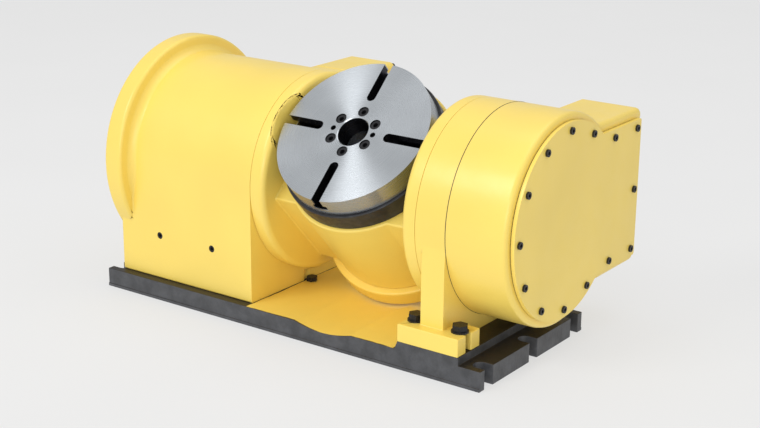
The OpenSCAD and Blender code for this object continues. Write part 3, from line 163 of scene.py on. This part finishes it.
class Finish:
    """A material's node tree with short calls for the nodes that the finishes share."""

    def __init__(self, name):
        self.material = bpy.data.materials.new(name)
        self.material.use_nodes = True
        self.tree = self.material.node_tree
        self.tree.nodes.clear()
        self.out = self.tree.nodes.new("ShaderNodeOutputMaterial")
        self.shader = self.tree.nodes.new("ShaderNodeBsdfPrincipled")
        self.link(self.shader.outputs[0], self.out.inputs["Surface"])
        self.coords = self.tree.nodes.new("ShaderNodeTexCoord")
        self.place = self.coords.outputs["Object"]

    def link(self, source, target):
        self.tree.links.new(source, target)

    def set(self, **values):
        """Constants go straight on to the shader's own sockets."""
        for key, value in values.items():
            self.shader.inputs[key.replace("_", " ")].default_value = value
        return self

    def feed(self, socket, source):
        self.link(source, self.shader.inputs[socket])

    def math(self, operation, first, second=None, clamp=False):
        node = self.tree.nodes.new("ShaderNodeMath")
        node.operation = operation
        node.use_clamp = clamp
        for slot, value in zip(node.inputs, (first, second)):
            if value is None:
                continue
            if isinstance(value, (int, float)):
                slot.default_value = value
            else:
                self.link(value, slot)
        return node.outputs[0]

    def vector(self, operation, first, second=None):
        node = self.tree.nodes.new("ShaderNodeVectorMath")
        node.operation = operation
        for slot, value in zip(node.inputs, (first, second)):
            if value is None:
                continue
            if isinstance(value, (tuple, Vector)):
                slot.default_value = tuple(value)
            else:
                self.link(value, slot)
        return node.outputs["Value" if operation in ("DOT_PRODUCT", "LENGTH") else "Vector"]

    def stretched(self, scale):
        node = self.tree.nodes.new("ShaderNodeMapping")
        node.inputs["Scale"].default_value = scale
        self.link(self.place, node.inputs["Vector"])
        return node.outputs[0]

    def noise(self, scale, detail=3.0, rough=0.5, place=None):
        node = self.tree.nodes.new("ShaderNodeTexNoise")
        node.inputs["Scale"].default_value = scale
        node.inputs["Detail"].default_value = detail
        node.inputs["Roughness"].default_value = rough
        self.link(place or self.place, node.inputs["Vector"])
        return node.outputs["Fac"]

    def spread(self, value, low, high, to_low=0.0, to_high=1.0):
        node = self.tree.nodes.new("ShaderNodeMapRange")
        for name, number in (("From Min", low), ("From Max", high), ("To Min", to_low),
                             ("To Max", to_high)):
            node.inputs[name].default_value = number
        self.link(value, node.inputs["Value"])
        return node.outputs["Result"]

    def mix(self, factor, first, second):
        node = self.tree.nodes.new("ShaderNodeMix")
        node.data_type = "RGBA"
        self.link(factor, node.inputs["Factor"])
        for slot, value in ((node.inputs[6], first), (node.inputs[7], second)):
            if isinstance(value, (tuple, list)):
                slot.default_value = (*value[:3], 1.0)
            else:
                self.link(value, slot)
        return node.outputs[2]

    def bump(self, height, strength, distance, normal=None):
        node = self.tree.nodes.new("ShaderNodeBump")
        node.inputs["Strength"].default_value = strength
        node.inputs["Distance"].default_value = distance
        self.link(height, node.inputs["Height"])
        if normal is not None:
            self.link(normal, node.inputs["Normal"])
        return node.outputs[0]

    def normal_part(self, direction):
        """How far the surface faces along a direction, -1 to 1."""
        return self.vector("DOT_PRODUCT", self.coords.outputs["Normal"], direction)

    def along(self, axis):
        node = self.tree.nodes.new("ShaderNodeSeparateXYZ")
        self.link(self.place, node.inputs[0])
        return node.outputs[axis]


def tint(colour, factor):
    return tuple(min(1.0, channel * factor) for channel in colour[:3])


def enamel(finish, colour):
    """Enamel colour, roughness and casting grain of the painted castings."""
    broad = finish.spread(finish.noise(7.0, 2.0), 0.35, 0.65)
    shade = finish.mix(broad, tint(colour, 0.955), tint(colour, 1.02))
    speck = finish.spread(finish.noise(900.0, 2.0, 0.6), 0.62, 0.75)
    shade = finish.mix(speck, shade, tint(colour, 0.9))
    rough = finish.spread(finish.noise(40.0, 3.0), 0.3, 0.7, 0.33, 0.45)
    return shade, rough


def paint_finish(name, grain):
    """Sprayed enamel; grain is how much of the casting's skin shows through it."""
    finish = Finish(name).set(Coat_Weight=0.25, Coat_Roughness=0.22, IOR=1.48)
    shade, rough = enamel(finish, colours().paint)
    finish.feed("Base Color", shade)
    finish.feed("Roughness", rough)
    skin = finish.bump(finish.noise(38.0, 3.0, 0.55), 0.35 * grain, 0.0012)
    peel = finish.bump(finish.noise(520.0, 2.0, 0.5), 0.12, 0.00025, skin)
    finish.feed("Normal", peel)
    return finish.material


def black_finish(name, grain=260.0, metal=0.0):
    finish = Finish(name).set(Metallic=metal, IOR=1.5)
    colour = colours().black
    wear = finish.spread(finish.noise(grain, 4.0, 0.6), 0.45, 0.8)
    finish.feed("Base Color", finish.mix(wear, tuple(colour), tint(colour, 2.6)))
    finish.feed("Roughness", finish.spread(finish.noise(grain * 1.7, 3.0), 0.3, 0.7, 0.28, 0.5))
    finish.feed("Normal", finish.bump(finish.noise(grain * 6.0, 2.0), 0.15, 0.0001))
    return finish.material


def steel_finish(name, colour, scale, rough=(0.2, 0.34)):
    """Ground steel: fine marks drawn out along X over slow stains."""
    finish = Finish(name).set(Metallic=1.0)
    stain = finish.spread(finish.noise(22.0, 3.0), 0.35, 0.7)
    finish.feed("Base Color", finish.mix(stain, tint(colour, 0.9), tint(colour, 1.06)))
    marks = finish.noise(1.0, 4.0, 0.6, finish.stretched((scale * 0.05, scale, scale)))
    finish.feed("Roughness", finish.spread(marks, 0.3, 0.7, *rough))
    finish.feed("Normal", finish.bump(marks, 0.12, 0.00008))
    return finish.material


def rubber_finish(name):
    finish = Finish(name).set(IOR=1.45)
    dust = finish.spread(finish.noise(120.0, 4.0), 0.4, 0.75)
    finish.feed("Base Color", finish.mix(dust, (0.014, 0.014, 0.014), (0.045, 0.043, 0.04)))
    finish.feed("Roughness", finish.spread(finish.noise(300.0), 0.3, 0.7, 0.55, 0.75))
    finish.feed("Normal", finish.bump(finish.noise(1400.0, 2.0), 0.25, 0.0001))
    return finish.material


def base_finish(name):
    """Rough dark sides, ground top with milling marks, and the painted apron under the cradle.
    The apron is where the surface faces up and X lies between the housing and the pad."""
    finish = Finish(name).set(IOR=1.5)
    up = finish.spread(finish.normal_part((0.0, 0.0, 1.0)), 0.55, 0.75)
    x, y = finish.along(0), finish.along(1)
    ragged = finish.math("MULTIPLY", finish.noise(24.0, 4.0, 0.6), 0.006)
    left = finish.spread(finish.math("ADD", x, ragged), *APRON_LEFT)
    right = finish.spread(finish.math("ADD", x, ragged), *APRON_RIGHT, 1.0, 0.0)
    front = finish.spread(finish.math("ADD", y, ragged), *APRON_FRONT)
    apron = finish.math("MULTIPLY", finish.math("MULTIPLY", left, right),
                        finish.math("MULTIPLY", up, front))
    mill = finish.noise(1.0, 3.0, 0.6, finish.stretched((14.0, 620.0, 90.0)))
    top = finish.mix(finish.spread(mill, 0.35, 0.7), tint(colours().ground_iron, 0.7),
                     tint(colours().ground_iron, 1.7))
    cloud = finish.spread(finish.noise(55.0, 5.0, 0.65), 0.35, 0.7)
    side = finish.mix(cloud, tint(colours().iron, 0.72), tint(colours().iron, 1.35))
    bare = finish.mix(up, side, top)
    shade, rough = enamel(finish, colours().paint)
    finish.feed("Base Color", finish.mix(apron, bare, shade))
    bare_rough = finish.spread(mill, 0.3, 0.7, 0.34, 0.55)
    rough_mix = finish.math("ADD", finish.math("MULTIPLY", rough, apron),
                            finish.math("MULTIPLY", bare_rough,
                                        finish.math("SUBTRACT", 1.0, apron)))
    finish.feed("Roughness", rough_mix)
    metal = finish.math("MULTIPLY", finish.math("SUBTRACT", up, apron, clamp=True), 0.55)
    finish.feed("Metallic", metal)
    coarse = finish.bump(finish.noise(260.0, 4.0, 0.6), 0.3, 0.0004)
    finish.feed("Normal", finish.bump(mill, 0.15, 0.0001, coarse))
    return finish.material


def plate_finish(name, colour):
    """Faced steel: rings about the table axis, so light gathers in wedges across the face.
    The tangent is the table axis crossed with the way out from it."""
    finish = Finish(name).set(Metallic=1.0, Anisotropic=0.9, Anisotropic_Rotation=0.25)
    out = finish.vector("SUBTRACT", finish.place, TABLE_CENTRE)
    depth = finish.vector("DOT_PRODUCT", out, TABLE_AXIS)
    around = finish.vector("CROSS_PRODUCT", TABLE_AXIS, out)
    radius = finish.vector("LENGTH", around)
    turned = finish.tree.nodes.new("ShaderNodeVectorTransform")
    turned.vector_type = "VECTOR"
    turned.convert_from, turned.convert_to = "OBJECT", "WORLD"
    finish.link(finish.vector("NORMALIZE", around), turned.inputs[0])
    finish.feed("Tangent", turned.outputs[0])
    rings = finish.tree.nodes.new("ShaderNodeCombineXYZ")
    finish.link(finish.math("MULTIPLY", radius, RINGS), rings.inputs[0])
    finish.link(finish.math("MULTIPLY", depth, RINGS), rings.inputs[1])
    groove = finish.noise(1.0, 3.0, 0.6, rings.outputs[0])
    stain = finish.spread(finish.noise(16.0, 3.0), 0.35, 0.68)
    bright = finish.mix(stain, tint(colour, 0.93), tint(colour, 1.05))
    # Painted shade: inside the rim, every surface below the face or not facing along the table axis
    # (the walls and floors of the T-slots and the bore) is painted near-black.
    inside = finish.spread(radius, *PLATE_RIM, 1.0, 0.0)
    low = finish.spread(depth, *SLOT_DEPTH, 1.0, 0.0)
    facing = finish.spread(finish.normal_part(tuple(TABLE_AXIS)), 0.35, 0.55, 1.0, 0.0)
    dark = finish.math("MULTIPLY", inside, finish.math("MAXIMUM", low, facing))
    # Painted shade: the plate's side band outside the rim is painted darker, at 0.62 of the steel's
    # colour.
    shaded_side_band = finish.math("MULTIPLY", facing, finish.math("SUBTRACT", 1.0, inside))
    bright = finish.mix(shaded_side_band, bright, tint(colour, 0.62))
    finish.feed("Base Color", finish.mix(dark, bright, tint(colours().black, 4.0)))
    finish.feed("Roughness", finish.spread(groove, 0.3, 0.7, 0.23, 0.31))
    finish.feed("Normal", finish.bump(groove, 0.06, 0.00006))
    return finish.material


def bronze_finish(name):
    finish = Finish(name).set(Metallic=1.0)
    stain = finish.spread(finish.noise(30.0, 4.0), 0.35, 0.7)
    colour = colours().bronze
    finish.feed("Base Color", finish.mix(stain, tint(colour, 0.75), tint(colour, 1.1)))
    finish.feed("Roughness", finish.spread(finish.noise(240.0), 0.3, 0.7, 0.24, 0.4))
    finish.feed("Normal", finish.bump(finish.noise(700.0), 0.1, 0.0001))
    return finish.material


# ------------------------------------------------------------------ mesh helpers

def dress(node, material):
    """A CAD node keeps its mesh and gets a finish."""
    for slot in frame["nodes"][node].material_slots:
        slot.material = material


def chain_sizes(edges):
    """Longest side of the box round each run of touching edges, by edge."""
    size_of, seen = {}, set()
    wanted = set(edges)
    for first in edges:
        if first in seen:
            continue
        run, queue = [], [first]
        seen.add(first)
        while queue:
            edge = queue.pop()
            run.append(edge)
            for vert in edge.verts:
                for other in vert.link_edges:
                    if other in wanted and other not in seen:
                        seen.add(other)
                        queue.append(other)
        corners = np.array([vert.co for edge in run for vert in edge.verts])
        size = float((corners.max(0) - corners.min(0)).max())
        for edge in run:
            size_of[edge] = size
    return size_of


def seam_edges(edge):
    """Edges that lie in a housing's seam stay nearly crisp, so the seam is a thin line."""
    middle = (edge.verts[0].co.x + edge.verts[1].co.x) / 2.0
    return 0.15 if min(abs(middle - seam) for seam in SEAMS) < NEAR else 1.0


def end_edges(edge):
    """The right housing's open end has a broad round; its other edges are as on a casting."""
    middle = (edge.verts[0].co + edge.verts[1].co) / 2.0
    out = max(Vector((middle.y, middle.z - TABLE_CENTRE.z)).length / HOUSING_R,
              middle.y / HOUSING_END.y, abs(middle.z - TABLE_CENTRE.z) / BOX_HALF)
    if abs(middle.x - HOUSING_END.x) < NEAR:
        return 1.0 if out > 0.985 else 0.0
    return 0.4 * seam_edges(edge)


def softened(node, material, width, small=0.03, sharp=24.0, segments=3, share=seam_edges):
    """A welded copy of a CAD body whose long edges are rounded to width and whose small
    holes keep crisp edges. share gives an edge's part of the width. The copy stands for the
    body and rides with it."""
    source = frame["nodes"][node]
    mesh = source.data.copy()
    work = bmesh.new()
    work.from_mesh(mesh)
    bmesh.ops.remove_doubles(work, verts=work.verts, dist=WELD)
    bmesh.ops.dissolve_limit(work, angle_limit=FLAT, verts=work.verts,
                             edges=work.edges)
    weight = work.edges.layers.float.new("bevel_weight_edge")
    turning = [edge for edge in work.edges
               if len(edge.link_faces) == 2 and edge.calc_face_angle(0.0) > radians(sharp)]
    for edge, size in chain_sizes(turning).items():
        edge[weight] = share(edge) if size > small else 0.0
        edge.smooth = size > small
    for face in work.faces:
        face.smooth = True
    work.to_mesh(mesh)
    work.free()
    piece = bpy.data.objects.new(node + "_finished", mesh)
    bpy.context.scene.collection.objects.link(piece)
    mesh.materials.clear()
    mesh.materials.append(material)
    bevel = piece.modifiers.new("Rounded edges", "BEVEL")
    bevel.width = width
    bevel.segments = segments
    bevel.limit_method = "WEIGHT"
    bevel.use_clamp_overlap = False
    bevel.miter_outer = "MITER_ARC"
    normals = piece.modifiers.new("Even shading", "WEIGHTED_NORMAL")
    normals.keep_sharp = True
    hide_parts(node)
    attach(piece, source["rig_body"])
    return piece


def grid_piece(name, points, material, body):
    """A quad surface from points[i, j], joined round in both directions."""
    rows, columns = points.shape[:2]
    i, j = np.arange(rows)[:, None], np.arange(columns)[None, :]
    below, beside = (i + 1) % rows, (j + 1) % columns
    faces = np.stack([i * columns + j, i * columns + beside, below * columns + beside,
                      below * columns + j], axis=-1).reshape(-1, 4)
    mesh = bpy.data.meshes.new(name)
    mesh.from_pydata(points.reshape(-1, 3).tolist(), [], faces.tolist())
    mesh.polygons.foreach_set("use_smooth", np.ones(len(faces), dtype=bool))
    mesh.materials.append(material)
    mesh.update()
    piece = bpy.data.objects.new(name, mesh)
    bpy.context.scene.collection.objects.link(piece)
    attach(piece, body)
    return piece


def bead_ring(x, radius, bead, count=180, sides=8):
    """Torus about the tilt axis: a small circle of radius bead carried round radius."""
    turn = np.linspace(0.0, 2.0 * pi, count, endpoint=False)[:, None]
    side = np.linspace(0.0, 2.0 * pi, sides, endpoint=False)[None, :]
    reach = radius + bead * np.cos(side)
    points = np.empty((count, sides, 3))
    points[..., 0] = x + bead * np.sin(side)
    points[..., 1] = reach * np.cos(turn)
    points[..., 2] = TABLE_CENTRE.z + reach * np.sin(turn)
    return points


# ------------------------------------------------------------------ operators

class TABLE_OT_base(bpy.types.Operator):
    """Base casting: rough sides, ground top and the painted apron"""
    bl_idname = "rotary_table.base"
    bl_label = "Base casting"
    bl_options = {"REGISTER", "UNDO"}

    def execute(self, context):
        softened("base_casting", base_finish("base_iron_and_apron"), sizes().ground_round)
        return {"FINISHED"}


class TABLE_OT_castings(bpy.types.Operator):
    """Painted castings with soft edges: housings, bracket, cradle and bottom cap"""
    bl_idname = "rotary_table.castings"
    bl_label = "Painted castings"
    bl_options = {"REGISTER", "UNDO"}

    def execute(self, context):
        cast = paint_finish("cast_enamel", 1.0)
        for node in ("left_housing", "cradle_casting", "bottom_cap"):
            softened(node, cast, sizes().casting_round)
        softened("support_bracket", cast, 0.6 * sizes().casting_round)
        softened("right_housing", cast, 2.5 * sizes().casting_round, share=end_edges)
        return {"FINISHED"}


class TABLE_OT_covers(bpy.types.Operator):
    """Smooth painted covers and their gasket"""
    bl_idname = "rotary_table.covers"
    bl_label = "Covers"
    bl_options = {"REGISTER", "UNDO"}

    def execute(self, context):
        smooth = paint_finish("cover_enamel", 0.25)
        for node in ("left_end_cover", "rear_motor_cover"):
            softened(node, smooth, sizes().cover_round)
        dress("side_cover", smooth)
        dress("side_cover_gasket", rubber_finish("gasket_rubber"))
        return {"FINISHED"}


class TABLE_OT_faceplate(bpy.types.Operator):
    """Turned faceplate with T-slots"""
    bl_idname = "rotary_table.faceplate"
    bl_label = "Faceplate"
    bl_options = {"REGISTER", "UNDO"}

    def execute(self, context):
        dress("faceplate", plate_finish("faced_steel", colours().plate))
        return {"FINISHED"}


class TABLE_OT_seal_ring(bpy.types.Operator):
    """Black ring under the faceplate"""
    bl_idname = "rotary_table.seal_ring"
    bl_label = "Seal ring"
    bl_options = {"REGISTER", "UNDO"}

    def execute(self, context):
        softened("seal_ring", black_finish("ring_black", 120.0), sizes().cover_round)
        return {"FINISHED"}


class TABLE_OT_fasteners(bpy.types.Operator):
    """Screws, bolts, plugs and nuts"""
    bl_idname = "rotary_table.fasteners"
    bl_label = "Fasteners"
    bl_options = {"REGISTER", "UNDO"}

    def execute(self, context):
        oxide = black_finish("black_oxide", 420.0, 0.3)
        for node in ("housing_plugs", "housing_foot_bolts", "end_cover_screws",
                     "rear_cover_screws", "bracket_bolts", "housing_screws",
                     "side_cover_screws", "trunnion_bolts", "bottom_cap_screws",
                     "faceplate_screws", "tail_nut", "spindle_nut"):
            dress(node, oxide)
        return {"FINISHED"}


class TABLE_OT_seams(bpy.types.Operator):
    """Dark bead in the seam at the right housing's inner end, against the support bracket"""
    bl_idname = "rotary_table.seams"
    bl_label = "Seams"
    bl_options = {"REGISTER", "UNDO"}

    def execute(self, context):
        bead = rubber_finish("seam_compound")
        radius = HOUSING_R - 0.4 * sizes().seam
        grid_piece("bracket_seam", bead_ring(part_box("right_housing")[0].x, radius,
                                             sizes().seam), bead, "frame")
        return {"FINISHED"}


class TABLE_OT_drive_parts(bpy.types.Operator):
    """Shafts, wheels, bearings, motors, pulleys and belt inside the housings"""
    bl_idname = "rotary_table.drive_parts"
    bl_label = "Drive parts"
    bl_options = {"REGISTER", "UNDO"}

    def execute(self, context):
        shaft = steel_finish("ground_shaft", (0.5, 0.52, 0.55), 900.0)
        for node in ("brake_caliper_ring", "left_trunnion", "right_trunnion", "brake_disc",
                     "spindle", "tilt_worm", "rotary_worm", "worm_gear", "drive_shaft",
                     "drive_gear"):
            dress(node, shaft)
        race = steel_finish("bearing_race", (0.66, 0.67, 0.69), 1400.0, (0.1, 0.2))
        for node in ("tilt_worm_bearings", "left_trunnion_bearing", "tail_bearing",
                     "right_trunnion_bearing", "shaft_end_bearing", "upper_spindle_bearing",
                     "lower_spindle_bearing", "rotary_worm_bearings", "drive_shaft_bearing"):
            dress(node, race)
        alloy = steel_finish("machined_alloy", (0.62, 0.63, 0.65), 500.0, (0.3, 0.45))
        for node in ("motor_plate", "motor_coupling", "cable_connectors", "drive_pulley",
                     "motor_pulley"):
            dress(node, alloy)
        wheel = bronze_finish("wheel_bronze")
        for node in ("tilt_worm_wheel", "rotary_worm_wheel"):
            dress(node, wheel)
        motor = black_finish("motor_enamel", 90.0)
        for node in ("tilt_motor", "rotary_motor"):
            dress(node, motor)
        dress("drive_belt", rubber_finish("belt_rubber"))
        return {"FINISHED"}


def area_light(name, place, target, size, power):
    light = bpy.data.lights.new(name, "AREA")
    light.shape = "RECTANGLE"
    light.size, light.size_y = size
    light.energy = power
    lamp = bpy.data.objects.new(name, light)
    lamp.location = place
    lamp.rotation_euler = (Vector(target) - Vector(place)).to_track_quat("-Z", "Y").to_euler()
    bpy.context.scene.collection.objects.link(lamp)


class TABLE_OT_stage(bpy.types.Operator):
    """Pale floor, soft lights and the camera"""
    bl_idname = "rotary_table.stage"
    bl_label = "Stage"
    bl_options = {"REGISTER", "UNDO"}

    def execute(self, context):
        scene = context.scene
        glow = (*colours().backdrop, 1.0)
        pale = Finish("pale_floor").set(Roughness=0.9, IOR=1.2, Emission_Color=glow,
                                        Emission_Strength=0.74)
        speck = pale.spread(pale.noise(3.0, 2.0), 0.3, 0.7)
        pale.feed("Base Color", pale.mix(speck, tint(colours().backdrop, 0.25),
                                         tint(colours().backdrop, 0.26)))
        reach = FLOOR_REACH
        mesh = bpy.data.meshes.new("floor")
        mesh.from_pydata([(-reach, -reach, 0.0), (reach, -reach, 0.0), (reach, reach, 0.0),
                          (-reach, reach, 0.0)], [], [(0, 1, 2, 3)])
        mesh.materials.append(pale.material)
        floor = bpy.data.objects.new("floor", mesh)
        scene.collection.objects.link(floor)

        world = bpy.data.worlds.new("Studio")
        scene.world = world
        world.use_nodes = True
        world.node_tree.nodes["Background"].inputs["Color"].default_value = glow
        world.node_tree.nodes["Background"].inputs["Strength"].default_value = 0.68
        power = sizes().key_power
        area_light("key", (-0.9, -2.4, 2.2), LIGHT_TARGET, (1.3, 1.0), power)
        area_light("fill", (1.2, -2.7, 0.9), LIGHT_TARGET, (2.0, 1.2), power * 0.7)
        area_light("top", (0.3, 0.3, 2.4), LIGHT_TARGET, (2.4, 2.0), power * 0.55)
        scene.view_settings.view_transform = "Standard"

        yaw, pitch, roll = CAMERA_YAW, CAMERA_PITCH, CAMERA_ROLL
        back = Vector((sin(yaw) * cos(pitch), -cos(yaw) * cos(pitch), sin(pitch)))
        right = Vector((cos(yaw), sin(yaw), 0.0))
        up = back.cross(right)
        level = cos(roll) * right + sin(roll) * up
        upright = cos(roll) * up - sin(roll) * right
        view = Matrix((level, upright, back)).transposed().to_4x4()
        view.translation = Vector(CAMERA_PLACE)
        data = bpy.data.cameras.new("camera")
        data.lens = sizes().focal
        data.sensor_width = SENSOR
        data.clip_end = 60.0
        camera = bpy.data.objects.new("camera", data)
        camera.matrix_world = view
        scene.collection.objects.link(camera)
        scene.camera = camera
        return {"FINISHED"}


class TABLE_PT_panel(bpy.types.Panel):
    """Sizes, colours and pieces of the rotary table"""
    bl_idname = "TABLE_PT_panel"
    bl_label = "Rotary table"
    bl_space_type = "VIEW_3D"
    bl_region_type = "UI"
    bl_category = "Rotary table"

    def draw(self, context):
        for group in (context.scene.table_sizes, context.scene.table_colours):
            column = self.layout.column(align=True)
            for name in group.bl_rna.properties.keys():
                if name not in ("rna_type", "name"):
                    column.prop(group, name)
        column = self.layout.column(align=True)
        for operator in OPERATORS:
            column.operator(operator.bl_idname)


OPERATORS = (TABLE_OT_base, TABLE_OT_castings, TABLE_OT_covers, TABLE_OT_faceplate,
             TABLE_OT_seal_ring, TABLE_OT_fasteners, TABLE_OT_seams, TABLE_OT_drive_parts,
             TABLE_OT_stage)
CLASSES = (TableColours, TableSizes, *OPERATORS, TABLE_PT_panel)


def register():
    for cls in CLASSES:
        bpy.utils.register_class(cls)
    bpy.types.Scene.table_colours = PointerProperty(type=TableColours)
    bpy.types.Scene.table_sizes = PointerProperty(type=TableSizes)


def unregister():
    del bpy.types.Scene.table_colours
    del bpy.types.Scene.table_sizes
    for cls in reversed(CLASSES):
        bpy.utils.unregister_class(cls)


def main():
    register()
    for operator in OPERATORS:
        name = operator.bl_idname.split(".")[1]
        getattr(bpy.ops.rotary_table, name)()


if __name__ == "__main__":
    main()
